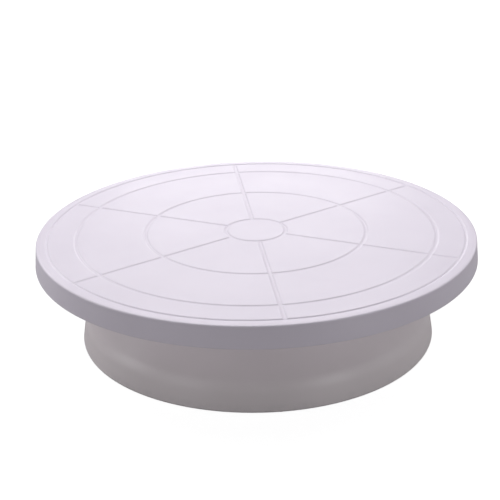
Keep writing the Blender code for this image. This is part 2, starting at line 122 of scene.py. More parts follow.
# Base
BASE_TOP = LOWER_RACE_LOW.z - SEAT_GAP + RACE_RECESS
BASE_WALL = 0.0024
BASE_DECK = 0.0032
BASE_UNDER = BASE_TOP - BASE_DECK
WALL_LEAN = math.radians(36)
FOOT_LEAN = math.radians(9)
FOOT_BAND_TOP = 0.0120
CROWN_ROUND = 0.0100
SHOULDER_ROUND = 0.0200
FOOT_ROUND = 0.0016
FLANGE_WIDTH = 0.0120
FLANGE = 0.0030
FLANGE_ROOT_ROUND = 0.0010
POST_RADIUS = 0.0123
POST_BORE = 0.0064
POST_LENGTH = 0.0340
POST_ROOT_ROUND_ABOVE = 0.0015
POST_ROOT_ROUND_BELOW = 0.0010
COUNTERBORE = 0.0093
COUNTERBORE_DEPTH = 0.0090
BASE_RIBS = 6
BASE_RIB_WIDTH = 0.0020
BASE_RIB_DEPTH = 0.0060
POCKET_DEPTH = 0.0014

# Race, spindle and fastening
GROOVE_STEPS = 10
POCKET_GAP = 0.0004
POCKET_CHAMFER = 0.0003
COLLAR_THICKNESS = 0.0012
SHANK_RADIUS = 0.0050
JOURNAL_RADIUS = 0.0040
PIN_CHAMFER = 0.0005
JOURNAL_CHAMFER = 0.0004
JOURNAL_CHAMFER_LENGTH = 0.0006
SHANK_RELIEF = 0.0003
DRILL_POINT = 0.0010
BUSH_FLANGE = 0.0016
BUSH_LEAD = 0.0005
BUSH_LEAD_LENGTH = 0.0008
THRUST_WASHER_EDGE = 0.00012
RETAINING_WASHER_EDGE = 0.00025
SCREW_RADIUS = 0.0020
SCREW_HEAD = 0.0026
HEAD_BRIM = 0.0012
HEAD_BRIM_ROUND = 0.0008
HEAD_CROWN = 0.0014
HEAD_CROWN_ROUND = 0.0016
TIP_CHAMFER = 0.0004
TIP_CHAMFER_LENGTH = 0.0006
SLOT_WIDTH = 0.0010
SLOT_LENGTH = 0.0048
SLOT_DEPTH = 0.0012
SLOT_LENGTH_TAPER = 0.45
SLOT_WIDTH_TAPER = 0.7
THREAD_PITCH = 0.0007
THREAD_DEPTH = 0.0004
THREAD_CREST = (0.44 * THREAD_PITCH, 0.56 * THREAD_PITCH)
THREAD_ROOT_WIDTH = 0.98 * THREAD_PITCH
THREAD_OVERLAP = 0.0001
THREAD_RUN_OUT = 0.0006

# Feet: the ring groove's middle and its half widths, as shares of the pad's radius
FOOT_GROOVE_DEPTH = 0.0004
FOOT_GROOVE_MIDDLE = 0.60
FOOT_GROOVE_MOUTH = 0.14
FOOT_GROOVE_FLOOR = 0.08

# Smoothness, merging and shading
BIG_STEPS = 240
SMALL_STEPS = 96
FOOT_STEPS = 64
BOBBIN_STEPS = 48
THREAD_STEPS = 32
BALL_CUTS = 15
SMOOTH_ANGLE = math.radians(35)
CORNER_STEPS = 4
BOWL_CORNER_STEPS = 8
SEAM_MERGE = 0.000004
CUT_MERGE = 0.00001
FACE_WEIGHT = 80


# Making shapes

def nothing_selected():
    """Back in object mode with nothing selected, because an operator acts on all that is."""
    if bpy.context.object and bpy.context.object.mode != 'OBJECT':
        bpy.ops.object.mode_set(mode='OBJECT')
    bpy.ops.object.select_all(action='DESELECT')


def only(piece):
    """Selects one piece alone and makes it the active one."""
    nothing_selected()
    bpy.context.view_layer.objects.active = piece
    piece.select_set(True)


def rounded(corners, segments=CORNER_STEPS):
    """An outline of (radius, height) points from corners (radius, height, fillet)."""
    points = []
    for index, (x, z, fillet) in enumerate(corners):
        here = Vector((x, z))
        before = Vector(corners[index - 1][:2])
        after = Vector(corners[(index + 1) % len(corners)][:2])
        if not fillet:
            points.append(here)
            continue
        back = (before - here).normalized()
        ahead = (after - here).normalized()
        half = back.angle(ahead) / 2
        centre = here + (back + ahead).normalized() * (fillet / math.sin(half))
        start = here + back * (fillet / math.tan(half)) - centre
        sweep = start.angle_signed(here + ahead * (fillet / math.tan(half)) - centre)
        for step in range(segments + 1):
            turn = Matrix.Rotation(-sweep * step / segments, 2)
            points.append(centre + turn @ start)
    return points


def drawn(name, outline, closed):
    """An outline of (radius, height) points, drawn by extruding a point and left in edit mode."""
    nothing_selected()
    path = [Vector((point[0], 0, point[1])) for point in outline]
    if closed:
        path.append(path[0])
    bpy.ops.mesh.primitive_plane_add(size=0.001)
    piece = bpy.context.object
    piece.name = name
    piece.data.name = name
    bpy.ops.object.mode_set(mode='EDIT')
    bpy.ops.mesh.select_mode(type='VERT')
    bpy.ops.mesh.select_all(action='SELECT')
    bpy.ops.mesh.merge(type='CENTER')
    bpy.ops.transform.translate(value=path[0])
    for here, there in zip(path, path[1:]):
        bpy.ops.mesh.extrude_region_move(TRANSFORM_OT_translate={"value": there - here})
    bpy.ops.mesh.select_all(action='SELECT')
    return piece


def spun(name, outline, steps, closed=False):
    """Spins an outline round Z and closes the seam and the poles."""
    piece = drawn(name, outline, closed)
    bpy.ops.mesh.spin(steps=steps, angle=math.tau, center=(0, 0, 0), axis=(0, 0, 1))
    bpy.ops.mesh.select_all(action='SELECT')
    bpy.ops.mesh.remove_doubles(threshold=SEAM_MERGE)
    bpy.ops.mesh.normals_make_consistent(inside=False)
    bpy.ops.object.mode_set(mode='OBJECT')
    return piece


def apply_all(piece):
    """Applies every modifier, in order."""
    only(piece)
    for modifier in list(piece.modifiers):
        bpy.ops.object.modifier_apply(modifier=modifier.name)


def combined(piece, tool, operation):
    """Joins a tool to the piece or cuts it out, and uses the tool up."""
    boolean = piece.modifiers.new("join", 'BOOLEAN')
    boolean.object = tool
    boolean.operation = operation
    boolean.solver = 'EXACT'
    apply_all(piece)
    bpy.data.objects.remove(tool, do_unlink=True)
    return piece


def finished(piece):
    """Smooth shading that keeps flat faces flat and crisp edges crisp."""
    only(piece)
    bpy.ops.object.shade_smooth_by_angle(angle=SMOOTH_ANGLE)
    weighted = piece.modifiers.new("even", 'WEIGHTED_NORMAL')
    weighted.keep_sharp = True
    weighted.weight = FACE_WEIGHT
    apply_all(piece)
    return piece


def spokes(name, count, inner, outer, width, low, high, lean=0.0):
    """Bars like spokes with drafted, rounded lower edges; lean moves their lower outer ends further out."""
    bars = []
    for index in range(count):
        nothing_selected()
        bpy.ops.mesh.primitive_cube_add(size=1.0, location=((inner + outer) / 2, 0, (low + high) / 2))
        bar = bpy.context.object
        bpy.ops.object.mode_set(mode='EDIT')
        bpy.ops.transform.resize(value=(outer - inner, width, high - low))
        select_where(bar, 'VERT', lambda vert: vert.co.z < 0)
        bpy.ops.transform.resize(value=(1, 1 - 2 * RIB_DRAFT / width, 1))
        select_where(bar, 'VERT', lambda vert: vert.co.z < 0 < vert.co.x)
        bpy.ops.transform.translate(value=(lean, 0, 0))
        select_where(bar, 'EDGE', lambda edge: all(vert.co.z < 0 for vert in edge.verts)
                     and abs(edge.verts[0].co.x - edge.verts[1].co.x) > width)
        bpy.ops.mesh.bevel(offset=RIB_DRAFT, segments=RIB_EDGE_STEPS)
        bpy.ops.object.mode_set(mode='OBJECT')
        bar.data.transform(around(index + 0.5, count) @ bar.matrix_world)
        bar.matrix_world = Matrix.Identity(4)
        bars.append(bar)
    return joined(name, bars)


def joined(name, pieces):
    """Several pieces as one object, each still a separate shell."""
    nothing_selected()
    for piece in pieces:
        piece.select_set(True)
    bpy.context.view_layer.objects.active = pieces[0]
    if len(pieces) > 1:
        bpy.ops.object.join()
    pieces[0].name = name
    return pieces[0]


def select_where(piece, kind, test):
    """Selects the vertices, edges or faces of the piece in edit mode that pass the test."""
    bpy.ops.mesh.select_mode(type=kind)
    bpy.ops.mesh.select_all(action='DESELECT')
    mesh = bmesh.from_edit_mesh(piece.data)
    for part in {'VERT': mesh.verts, 'EDGE': mesh.edges, 'FACE': mesh.faces}[kind]:
        if test(part):
            part.select_set(True)
    mesh.select_flush_mode()
    bmesh.update_edit_mesh(piece.data)


def around(index, count):
    """The turn to one of the places shared out evenly round the Z axis."""
    return Matrix.Rotation(math.tau * index / count, 4, 'Z')


def copied(piece, name, move):
    """A copy with its own mesh, moved by the matrix."""
    copy = piece.copy()
    copy.data = piece.data.copy()
    copy.data.transform(move)
    copy.name = name
    copy.data.name = name
    bpy.context.scene.collection.objects.link(copy)
    return copy


# Plate

def line_corners(middle, width, depth):
    """The corners of a sunk guide line with sloping walls."""
    inner = middle - width / 2
    outer = middle + width / 2
    floor = PLATE_TOP - depth
    return [(inner, PLATE_TOP, LINE_FILLET), (inner + LINE_WALL_RUN, floor, LINE_FILLET),
            (outer - LINE_WALL_RUN, floor, LINE_FILLET), (outer, PLATE_TOP, LINE_FILLET)]


def plate_outline():
    """Along the deck from the axis, over the edge, up inside the skirt and in to the spindle's bore."""
    seat = UPPER_RACE_HIGH.z + SEAT_GAP
    lip_foot = seat - LIP_DEPTH
    seat_outer = RACE_OUTER - SEAT_RIB
    seat_inner = RACE_INNER + SEAT_RIB
    skirt_inner = PLATE_RADIUS - SKIRT_WALL
    spindle_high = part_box("spindle")[1]
    collar = spindle_high.x + SEAT_GAP
    collar_seat = HUB_FOOT + COLLAR_THICKNESS + SEAT_GAP
    shank = SHANK_RADIUS + SEAT_GAP
    bore_top = spindle_high.z + SEAT_GAP
    corners = [(0, PLATE_TOP, 0)]
    for radius in (CENTRE_RING, MIDDLE_RING, OUTER_RING):
        corners += line_corners(radius, LINE_WIDTH, LINE_DEPTH)
    corners += line_corners(RIM_RING, RIM_LINE_WIDTH, RIM_LINE_DEPTH)
    corners += [
        (PLATE_RADIUS - EDGE_LAND, PLATE_TOP, LAND_ROUND),
        (PLATE_RADIUS - SKIRT_DRAFT, PLATE_TOP - EDGE_FALL, EDGE_ROUND),
        (PLATE_RADIUS, SKIRT_FOOT, SOFT_FILLET), (skirt_inner, SKIRT_FOOT, MEDIUM_FILLET),
        (skirt_inner - SKIRT_DRAFT, PLATE_UNDER, SKIRT_ROOT_ROUND),
        (LIP_OUTER, PLATE_UNDER, SOFT_FILLET), (LIP_OUTER, lip_foot, SMALL_FILLET),
        (LIP_INNER, lip_foot, SMALL_FILLET), (LIP_INNER, seat, 0),
        (seat_outer, seat, FINE_FILLET), (seat_outer, PLATE_UNDER, BROAD_FILLET),
        (seat_inner, PLATE_UNDER, BROAD_FILLET), (seat_inner, seat, FINE_FILLET),
        (RACE_INNER, seat, FINE_FILLET), (RACE_INNER, PLATE_UNDER, SOFT_FILLET),
        (HUB_RADIUS, PLATE_UNDER, HUB_ROOT_ROUND), (HUB_RADIUS, HUB_FOOT, BROAD_FILLET),
        (collar, HUB_FOOT, FINE_FILLET), (collar, collar_seat, 0), (shank, collar_seat, 0),
        (shank, bore_top, 0), (0, bore_top, 0)]
    return rounded(corners)


def cut_radial_lines(plate):
    """Cuts loops along each radial line, then sinks the points between them to the line's section.

    A point on the deck beyond each side of the section lets the top corners round onto the deck.
    """
    section = rounded([(-LINE_WIDTH, PLATE_TOP, 0)] + line_corners(0, LINE_WIDTH, LINE_DEPTH)
                      + [(LINE_WIDTH, PLATE_TOP, 0)])
    half = [(point.x, PLATE_TOP - point.y) for point in section[:-1] if point.x > 0]
    inside = CENTRE_RING - LINE_WIDTH
    outside = RIM_RING + RIM_LINE_WIDTH / 2

    def on_top(face):
        middle = face.calc_center_median()
        return middle.z > PLATE_TOP - DECK / 2 and inside < middle.xy.length < outside

    only(plate)
    bpy.ops.object.mode_set(mode='EDIT')
    for line in range(RADIAL_LINES // 2):
        angle = math.tau * line / RADIAL_LINES
        across = Vector((-math.sin(angle), math.cos(angle), 0))
        for offset, _ in half:
            for side in (-1, 1):
                select_where(plate, 'FACE', on_top)
                bpy.ops.mesh.bisect(plane_co=across * offset * side, plane_no=across, threshold=CUT_MERGE)
    bpy.ops.object.mode_set(mode='OBJECT')

    def depth_at(offset):
        for (near, deep), (far, shallow) in zip(half, half[1:]):
            if near <= offset < far:
                return deep + (shallow - deep) * (offset - near) / (far - near)
        return half[0][1] if offset < half[0][0] else 0.0

    for vert in plate.data.vertices:
        radius = vert.co.xy.length
        if vert.co.z < PLATE_TOP - DECK / 2 or not CENTRE_RING <= radius <= RIM_RING:
            continue
        for line in range(RADIAL_LINES // 2):
            angle = math.tau * line / RADIAL_LINES
            offset = abs(vert.co.y * math.cos(angle) - vert.co.x * math.sin(angle))
            vert.co.z = min(vert.co.z, PLATE_TOP - depth_at(offset))


def make_plate():
    plate = spun("plate_moulding", plate_outline(), BIG_STEPS)
    rib_top = PLATE_UNDER + JOIN_DEPTH
    skirt_root = PLATE_RADIUS - SKIRT_WALL - SKIRT_DRAFT
    outer_ribs = spokes("outer_ribs", PLATE_RIBS, LIP_OUTER - JOIN_DEPTH, skirt_root + JOIN_DEPTH,
                        PLATE_RIB_WIDTH, PLATE_UNDER - PLATE_RIB_DEPTH, rib_top)
    hub_ribs = spokes("hub_ribs", HUB_RIBS, HUB_RADIUS - JOIN_DEPTH, RACE_INNER + JOIN_DEPTH,
                      PLATE_RIB_WIDTH, UPPER_RACE_HIGH.z + 2 * SEAT_GAP, rib_top)
    combined(plate, joined("plate_ribs", [outer_ribs, hub_ribs]), 'UNION')
    cut_radial_lines(plate)
    place(finished(plate), "plate", "turntable_plate", plate_plastic())


# Base

def crossing(first_point, first_tilt, second_point, second_tilt):
    """Where two slopes meet; a slope is a point on it and how far its outward normal rises."""
    first = Vector((math.cos(first_tilt), math.sin(first_tilt)))
    second = Vector((math.cos(second_tilt), math.sin(second_tilt)))
    reach_first = first.dot(first_point)
    reach_second = second.dot(second_point)
    spread = first.x * second.y - first.y * second.x
    return Vector(((reach_first * second.y - reach_second * first.y) / spread,
                   (reach_second * first.x - reach_first * second.x) / spread))


def bowl_corners(inset):
    """The corners at the crown, the shoulder and the foot of the wall, moved into the wall by inset."""
    band_foot = Vector((FOOT_RING_RADIUS - FOOT_ROUND * (1 - math.cos(FOOT_LEAN)),
                        RING_FOOT + FOOT_ROUND * (1 + math.sin(FOOT_LEAN))))
    rise = FOOT_BAND_TOP - band_foot.y
    band_top = Vector((band_foot.x - rise * math.tan(FOOT_LEAN), FOOT_BAND_TOP))
    band_outward = Vector((math.cos(FOOT_LEAN), math.sin(FOOT_LEAN)))
    slope_outward = Vector((math.cos(WALL_LEAN), math.sin(WALL_LEAN)))
    slope_foot = band_top + (slope_outward - band_outward) * SHOULDER_ROUND
    top = Vector((0, BASE_TOP - inset))
    slope = slope_foot - slope_outward * inset
    band = band_top - band_outward * inset
    return (crossing(top, math.pi / 2, slope, WALL_LEAN), crossing(slope, WALL_LEAN, band, FOOT_LEAN),
            crossing(band, FOOT_LEAN, Vector((0, RING_FOOT)), math.pi / 2))


def base_outline():
    """Round the wall from the top of the post's bore: down the outside, in at the foot and up inside."""
    seat = LOWER_RACE_LOW.z - SEAT_GAP
    recess_inner = RACE_INNER - SEAT_GAP
    recess_outer = RACE_OUTER + SEAT_GAP
    crown, shoulder, foot = bowl_corners(0)
    crown_in, shoulder_in, foot_in = bowl_corners(BASE_WALL)
    deck_edge = recess_outer + BASE_WALL
    flange_inner = FOOT_RING_RADIUS - FLANGE_WIDTH
    flange_top = RING_FOOT + FLANGE
    band_at_flange = foot_in.x - FLANGE * math.tan(FOOT_LEAN)
    post_foot = POST_TOP - POST_LENGTH
    step = post_foot + COUNTERBORE_DEPTH
    return rounded([
        (POST_BORE, POST_TOP, MEDIUM_FILLET), (POST_RADIUS, POST_TOP, SOFT_FILLET),
        (POST_RADIUS, BASE_TOP, POST_ROOT_ROUND_ABOVE), (recess_inner, BASE_TOP, SMALL_FILLET),
        (recess_inner, seat, 0), (recess_outer, seat, 0), (recess_outer, BASE_TOP, SMALL_FILLET),
        (*crown, CROWN_ROUND), (*shoulder, SHOULDER_ROUND), (*foot, FOOT_ROUND),
        (flange_inner, RING_FOOT, MEDIUM_FILLET), (flange_inner, flange_top, MEDIUM_FILLET),
        (band_at_flange, flange_top, FLANGE_ROOT_ROUND),
        (*shoulder_in, SHOULDER_ROUND - BASE_WALL), (*crown_in, CROWN_ROUND - BASE_WALL),
        (deck_edge, BASE_TOP - BASE_WALL, 0), (deck_edge, BASE_UNDER, SMALL_FILLET),
        (POST_RADIUS, BASE_UNDER, POST_ROOT_ROUND_BELOW), (POST_RADIUS, post_foot, BROAD_FILLET),
        (COUNTERBORE, post_foot, SMALL_FILLET), (COUNTERBORE, step, 0),
        (POST_BORE, step, FINE_FILLET)], BOWL_CORNER_STEPS)


def make_base():
    base = spun("base_moulding", base_outline(), BIG_STEPS, closed=True)
    crown = bowl_corners(0)[0]
    ribs = spokes("base_ribs", BASE_RIBS, POST_RADIUS - JOIN_DEPTH, crown.x, BASE_RIB_WIDTH,
                  BASE_UNDER - BASE_RIB_DEPTH, BASE_UNDER + JOIN_DEPTH, BASE_RIB_DEPTH * math.tan(WALL_LEAN))
    combined(base, ribs, 'UNION')
    for index in range(FOOT_COUNT):
        low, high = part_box(f"foot_{index + 1}")
        middle = (low + high) / 2
        nothing_selected()
        bpy.ops.mesh.primitive_cylinder_add(vertices=FOOT_STEPS, radius=(high.x - low.x) / 2 + SEAT_GAP,
                                            depth=2 * POCKET_DEPTH, location=(middle.x, middle.y, RING_FOOT))
        combined(base, bpy.context.object, 'DIFFERENCE')
    place(finished(base), "base", "base_shell", base_plastic())


# Ball race

def race_outline(face, seat, up):
    """A flat pressed ring with a ball groove in its face; up is 1 where the seat is above the face."""
    groove = BALL_RADIUS + SEAT_GAP
    reach = math.acos(abs(face - BALL_LEVEL) / groove)
    lip = groove * math.sin(reach)
    corners = [(RACE_INNER, seat, MEDIUM_FILLET), (RACE_OUTER, seat, MEDIUM_FILLET),
               (RACE_OUTER, face, SMALL_FILLET), (PITCH_RADIUS + lip, face, FINE_FILLET)]
    for step in range(1, GROOVE_STEPS):
        turn = reach - 2 * reach * step / GROOVE_STEPS
        corners.append((PITCH_RADIUS + groove * math.sin(turn), BALL_LEVEL + up * groove * math.cos(turn), 0))
    corners += [(PITCH_RADIUS - lip, face, FINE_FILLET), (RACE_INNER, face, SMALL_FILLET)]
    return rounded(corners)


def make_races():
    steel = race_steel()
    for name, body, face, seat, up in (("upper_race", "plate", UPPER_RACE_LOW.z, UPPER_RACE_HIGH.z, 1),
                                       ("lower_race", "base", LOWER_RACE_HIGH.z, LOWER_RACE_LOW.z, -1)):
        race = finished(spun(name + "_ring", race_outline(face, seat, up), BIG_STEPS, closed=True))
        place(race, body, name, steel)


def make_cage():
    """A nylon ring; each ball pocket is cut by a bobbin that leaves a chamfer at both faces."""
    outer = CAGE_HIGH.x
    inner = 2 * PITCH_RADIUS - outer
    top = CAGE_HIGH.z
    foot = CAGE_LOW.z
    ring = spun("cage_ring", rounded([(inner, top, MEDIUM_FILLET), (outer, top, MEDIUM_FILLET),
                                      (outer, foot, MEDIUM_FILLET), (inner, foot, MEDIUM_FILLET)]),
                BIG_STEPS, closed=True)
    pocket = BALL_RADIUS + POCKET_GAP
    flare = pocket + 2 * POCKET_CHAMFER
    bobbin = spun("pocket_bobbin", [(0, top + POCKET_CHAMFER), (flare, top + POCKET_CHAMFER),
                                    (pocket, top - POCKET_CHAMFER), (pocket, foot + POCKET_CHAMFER),
                                    (flare, foot - POCKET_CHAMFER), (0, foot - POCKET_CHAMFER)], BOBBIN_STEPS)
    bobbin.data.transform(Matrix.Translation((PITCH_RADIUS, 0, 0)))
    bobbins = [bobbin] + [copied(bobbin, f"bobbin_{index}", around(index, BALL_COUNT))
                          for index in range(1, BALL_COUNT)]
    combined(ring, joined("pocket_bobbins", bobbins), 'DIFFERENCE')
    place(finished(ring), "cage", "ball_cage", cage_nylon())


def make_balls():
    """A cube swollen to a true sphere of square faces, copied round the pitch circle."""
    nothing_selected()
    bpy.ops.mesh.primitive_cube_add(size=2 * BALL_RADIUS)
    first = bpy.context.object
    bpy.ops.object.mode_set(mode='EDIT')
    bpy.ops.mesh.select_all(action='SELECT')
    bpy.ops.mesh.subdivide(number_cuts=BALL_CUTS)
    bpy.ops.object.mode_set(mode='OBJECT')
    cast = first.modifiers.new("sphere", 'CAST')
    cast.factor = 1.0
    cast.use_radius_as_size = False
    cast.size = BALL_RADIUS
    apply_all(first)
    bpy.ops.object.shade_smooth()
    first.data.transform(Matrix.Translation((PITCH_RADIUS, 0, BALL_LEVEL)))
    balls = [first] + [copied(first, "copy", around(index, BALL_COUNT)) for index in range(1, BALL_COUNT)]
    steel = ball_steel()
    for index, ball in enumerate(balls):
        node = f"ball_{index + 1:02d}"
        ball.name = f"bearing_{node}"
        ball.data.name = ball.name
        place(ball, node, node, steel)


# Spindle, bushes and their fastening

def make_spindle():
    """A shank for the hub, a collar, a journal for the bushes and a tapped hole for the screw."""
    low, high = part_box("spindle")
    collar = high.x
    collar_top = HUB_FOOT + COLLAR_THICKNESS
    relieved = SHANK_RADIUS - SHANK_RELIEF
    tap = SCREW_RADIUS + SEAT_GAP
    tap_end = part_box("retaining_screw")[1].z + SEAT_GAP
    outline = rounded([
        (0, high.z, 0), (SHANK_RADIUS - PIN_CHAMFER, high.z, HAIR_FILLET),
        (SHANK_RADIUS, high.z - PIN_CHAMFER, HAIR_FILLET), (SHANK_RADIUS, collar_top + 2 * SHANK_RELIEF, 0),
        (relieved, collar_top + SHANK_RELIEF, 0), (relieved, collar_top, 0),
        (collar, collar_top, FINE_FILLET), (collar, HUB_FOOT, FINE_FILLET),
        (JOURNAL_RADIUS, HUB_FOOT, SMALL_FILLET),
        (JOURNAL_RADIUS, low.z + JOURNAL_CHAMFER_LENGTH, HAIR_FILLET),
        (JOURNAL_RADIUS - JOURNAL_CHAMFER, low.z, HAIR_FILLET), (tap + PIN_CHAMFER, low.z, 0),
        (tap, low.z + PIN_CHAMFER, 0), (tap, tap_end - DRILL_POINT, 0), (0, tap_end, 0)])
    pin = finished(spun("spindle_pin", outline, SMALL_STEPS))
    place(pin, "plate", "spindle", turned_steel())


def bush_outline(flange_face, end, inward):
    """A flanged sleeve with a lead-in at its end; inward is 1 where it runs up from its flange."""
    bore = JOURNAL_RADIUS + RUNNING_GAP
    barrel = POST_BORE - SEAT_GAP
    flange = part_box("upper_bush")[1].x
    seat = flange_face + inward * BUSH_FLANGE
    return rounded([(bore, flange_face, SMALL_FILLET), (flange, flange_face, SMALL_FILLET),
                    (flange, seat, FINE_FILLET), (barrel, seat, FINE_FILLET),
                    (barrel, end - inward * BUSH_LEAD_LENGTH, FINE_FILLET),
                    (barrel - BUSH_LEAD, end, FINE_FILLET), (bore, end, SMALL_FILLET)])


def make_bushes(acetal):
    """The two sleeves in the post, pushed in from its two ends with their flanges left outside."""
    upper_low, upper_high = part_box("upper_bush")
    lower_low, lower_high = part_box("lower_bush")
    for name, outline in (("upper_bush", bush_outline(upper_high.z, upper_low.z, -1)),
                          ("lower_bush", bush_outline(lower_low.z, lower_high.z, 1))):
        bush = finished(spun(name + "_sleeve", outline, SMALL_STEPS, closed=True))
        place(bush, "base", name, acetal)


def make_washers(acetal, zinc):
    """The plastic washer under the post, and the steel one that the screw holds against it."""
    thrust_bore = JOURNAL_RADIUS + RUNNING_GAP
    screw_bore = SCREW_RADIUS + SEAT_GAP
    for name, body, bore, edge, slot, finish in (
            ("thrust_washer", "base", thrust_bore, THRUST_WASHER_EDGE, "bush_plastic", acetal),
            ("retaining_washer", "plate", screw_bore, RETAINING_WASHER_EDGE, "zinc_steel", zinc)):
        low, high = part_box(name)
        outline = rounded([(bore, high.z, edge), (high.x, high.z, edge),
                           (high.x, low.z, edge), (bore, low.z, edge)])
        washer = finished(spun(name + "_disc", outline, SMALL_STEPS, closed=True))
        place(washer, body, name, finish)


def cross_slot(head_foot):
    """A tapering cross, like the point of a screwdriver."""
    bars = []
    for quarter in range(2):
        nothing_selected()
        bpy.ops.mesh.primitive_cube_add(size=1.0, location=(0, 0, head_foot))
        bar = bpy.context.object
        bpy.ops.object.mode_set(mode='EDIT')
        bpy.ops.transform.resize(value=(SLOT_LENGTH, SLOT_WIDTH, 2 * SLOT_DEPTH))
        select_where(bar, 'VERT', lambda vert: vert.co.z > 0)
        bpy.ops.transform.resize(value=(SLOT_LENGTH_TAPER, SLOT_WIDTH_TAPER, 1))
        bpy.ops.object.mode_set(mode='OBJECT')
        bar.data.transform(around(quarter, 4) @ bar.matrix_world)
        bar.matrix_world = Matrix.Identity(4)
        bars.append(bar)
    return combined(bars[0], bars[1], 'UNION')


def make_thread(foot, top):
    """A ridge with sloping flanks wound up the shank, closed at both ends."""
    root = SCREW_RADIUS - THREAD_DEPTH - THREAD_OVERLAP
    crest_low, crest_high = THREAD_CREST
    ridge = [(root, foot), (SCREW_RADIUS, foot + crest_low), (SCREW_RADIUS, foot + crest_high),
             (root, foot + THREAD_ROOT_WIDTH)]
    thread = drawn("screw_thread", ridge, closed=True)
    bpy.ops.mesh.remove_doubles(threshold=SEAM_MERGE)
    bpy.ops.object.mode_set(mode='OBJECT')
    winding = thread.modifiers.new("winding", 'SCREW')
    winding.axis = 'Z'
    winding.angle = math.tau
    winding.screw_offset = THREAD_PITCH
    winding.iterations = int((top - foot) / THREAD_PITCH) - 1
    winding.steps = THREAD_STEPS
    winding.render_steps = THREAD_STEPS
    winding.use_merge_vertices = False
    apply_all(thread)
    bpy.ops.object.mode_set(mode='EDIT')
    bpy.ops.mesh.select_all(action='SELECT')
    bpy.ops.mesh.remove_doubles(threshold=SEAM_MERGE)
    for end in (min, max):
        level = end(vert.co.z for vert in bmesh.from_edit_mesh(thread.data).verts)
        select_where(thread, 'EDGE', lambda edge: edge.is_boundary
                     and abs(edge.verts[0].co.z - level) < THREAD_PITCH)
        bpy.ops.mesh.edge_face_add()
    bpy.ops.mesh.select_all(action='SELECT')
    bpy.ops.mesh.normals_make_consistent(inside=False)
    bpy.ops.object.mode_set(mode='OBJECT')
    return thread


def make_screw(zinc):
    """A pan head screw with a rolled thread and a cross recess."""
    low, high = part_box("retaining_screw")
    seat = low.z + SCREW_HEAD
    root = SCREW_RADIUS - THREAD_DEPTH
    outline = rounded([
        (0, high.z, 0), (root - TIP_CHAMFER, high.z, 0), (root, high.z - TIP_CHAMFER_LENGTH, 0),
        (root, seat, FINE_FILLET), (high.x, seat, FINE_FILLET), (high.x, low.z + HEAD_BRIM, HEAD_BRIM_ROUND),
        (high.x - HEAD_CROWN, low.z, HEAD_CROWN_ROUND), (0, low.z, 0)])
    screw = spun("screw_body", outline, SMALL_STEPS)
    combined(screw, make_thread(seat + THREAD_RUN_OUT, high.z - TIP_CHAMFER), 'UNION')
    combined(screw, cross_slot(low.z), 'DIFFERENCE')
    place(finished(screw), "plate", "retaining_screw", zinc)


# Feet

def make_feet():
    """Moulded rubber pads, each with a shallow ring groove in the face that it stands on."""
    low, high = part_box("foot_1")
    radius = (high.x - low.x) / 2
    middle = FOOT_GROOVE_MIDDLE * radius
    mouth = FOOT_GROOVE_MOUTH * radius
    floor = FOOT_GROOVE_FLOOR * radius
    groove_top = low.z + FOOT_GROOVE_DEPTH
    outline = rounded([
        (0, high.z, 0), (radius, high.z, FINE_FILLET), (radius, low.z, MEDIUM_FILLET),
        (middle + mouth, low.z, FINE_FILLET), (middle + floor, groove_top, FINE_FILLET),
        (middle - floor, groove_top, FINE_FILLET), (middle - mouth, low.z, FINE_FILLET), (0, low.z, 0)])
    first = finished(spun("foot_pad", outline, FOOT_STEPS))
    first.data.transform(Matrix.Translation(((low.x + high.x) / 2, 0, 0)))
    pads = [first] + [copied(first, "copy", around(index, FOOT_COUNT)) for index in range(1, FOOT_COUNT)]
    rubber = foot_rubber()
    for index, pad in enumerate(pads):
        pad.name = f"rubber_pad_{index + 1}"
        pad.data.name = pad.name
        place(pad, "base", f"foot_{index + 1}", rubber)


# Finishes

# Plastic, and the dust and painted shade that darken the deck's sunk lines, clear of the edge
PLASTIC_IOR = 1.49
PLATE_DARK = (0.777, 0.718, 0.820)
PLATE_PALE = (0.807, 0.748, 0.850)
DUST_AND_SHADE = (0.55, 0.50, 0.57)
DUST_SHADE_REACH = 0.0015
DUST_SHADE_LIMIT = 0.0001
DUST_SHADE_INSET = 0.0055
BASE_DARK = (0.880, 0.812, 0.835)
BASE_PALE = (0.910, 0.842, 0.865)
FOOT_PATCH_GREY = (0.55, 0.53, 0.56)
FOOT_PATCH_REACH = 0.0060
STAIN_SHADE = 0.86


def place(piece, body, node, finish):
    """Gives a piece its finish and rides it on its body in place of its CAD node."""
    piece.data.materials.clear()
    piece.data.materials.append(finish)
    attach(piece, body)
    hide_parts(node)


def new_finish(name, **values):
    material = bpy.data.materials.new(name)
    material.use_nodes = True
    shader = material.node_tree.nodes["Principled BSDF"]
    for socket, value in values.items():
        shader.inputs[socket].default_value = value
    return material


def make_node(material, kind, links=(), **settings):
    """A node with its attributes set, and its inputs set or linked by name or number."""
    node = material.node_tree.nodes.new(kind)
    for name, value in settings.items():
        setattr(node, name, value)
    for socket, value in links:
        if isinstance(value, bpy.types.NodeSocket):
            material.node_tree.links.new(value, node.inputs[socket])
        else:
            node.inputs[socket].default_value = value
    return node


def noise(material, where, scale, detail=3.0, roughness=0.5):
    node = make_node(material, 'ShaderNodeTexNoise', [("Vector", where), ("Scale", scale), ("Detail", detail),
                                                      ("Roughness", roughness)])
    return node.outputs["Fac"]


def remapped(material, value, low, high, to_low, to_high):
    node = make_node(material, 'ShaderNodeMapRange', [("Value", value), ("From Min", low), ("From Max", high),
                                                      ("To Min", to_low), ("To Max", to_high)])
    return node.outputs["Result"]


def maths(material, operation, first, second):
    node = make_node(material, 'ShaderNodeMath', [(0, first), (1, second)], operation=operation)
    return node.outputs["Value"]


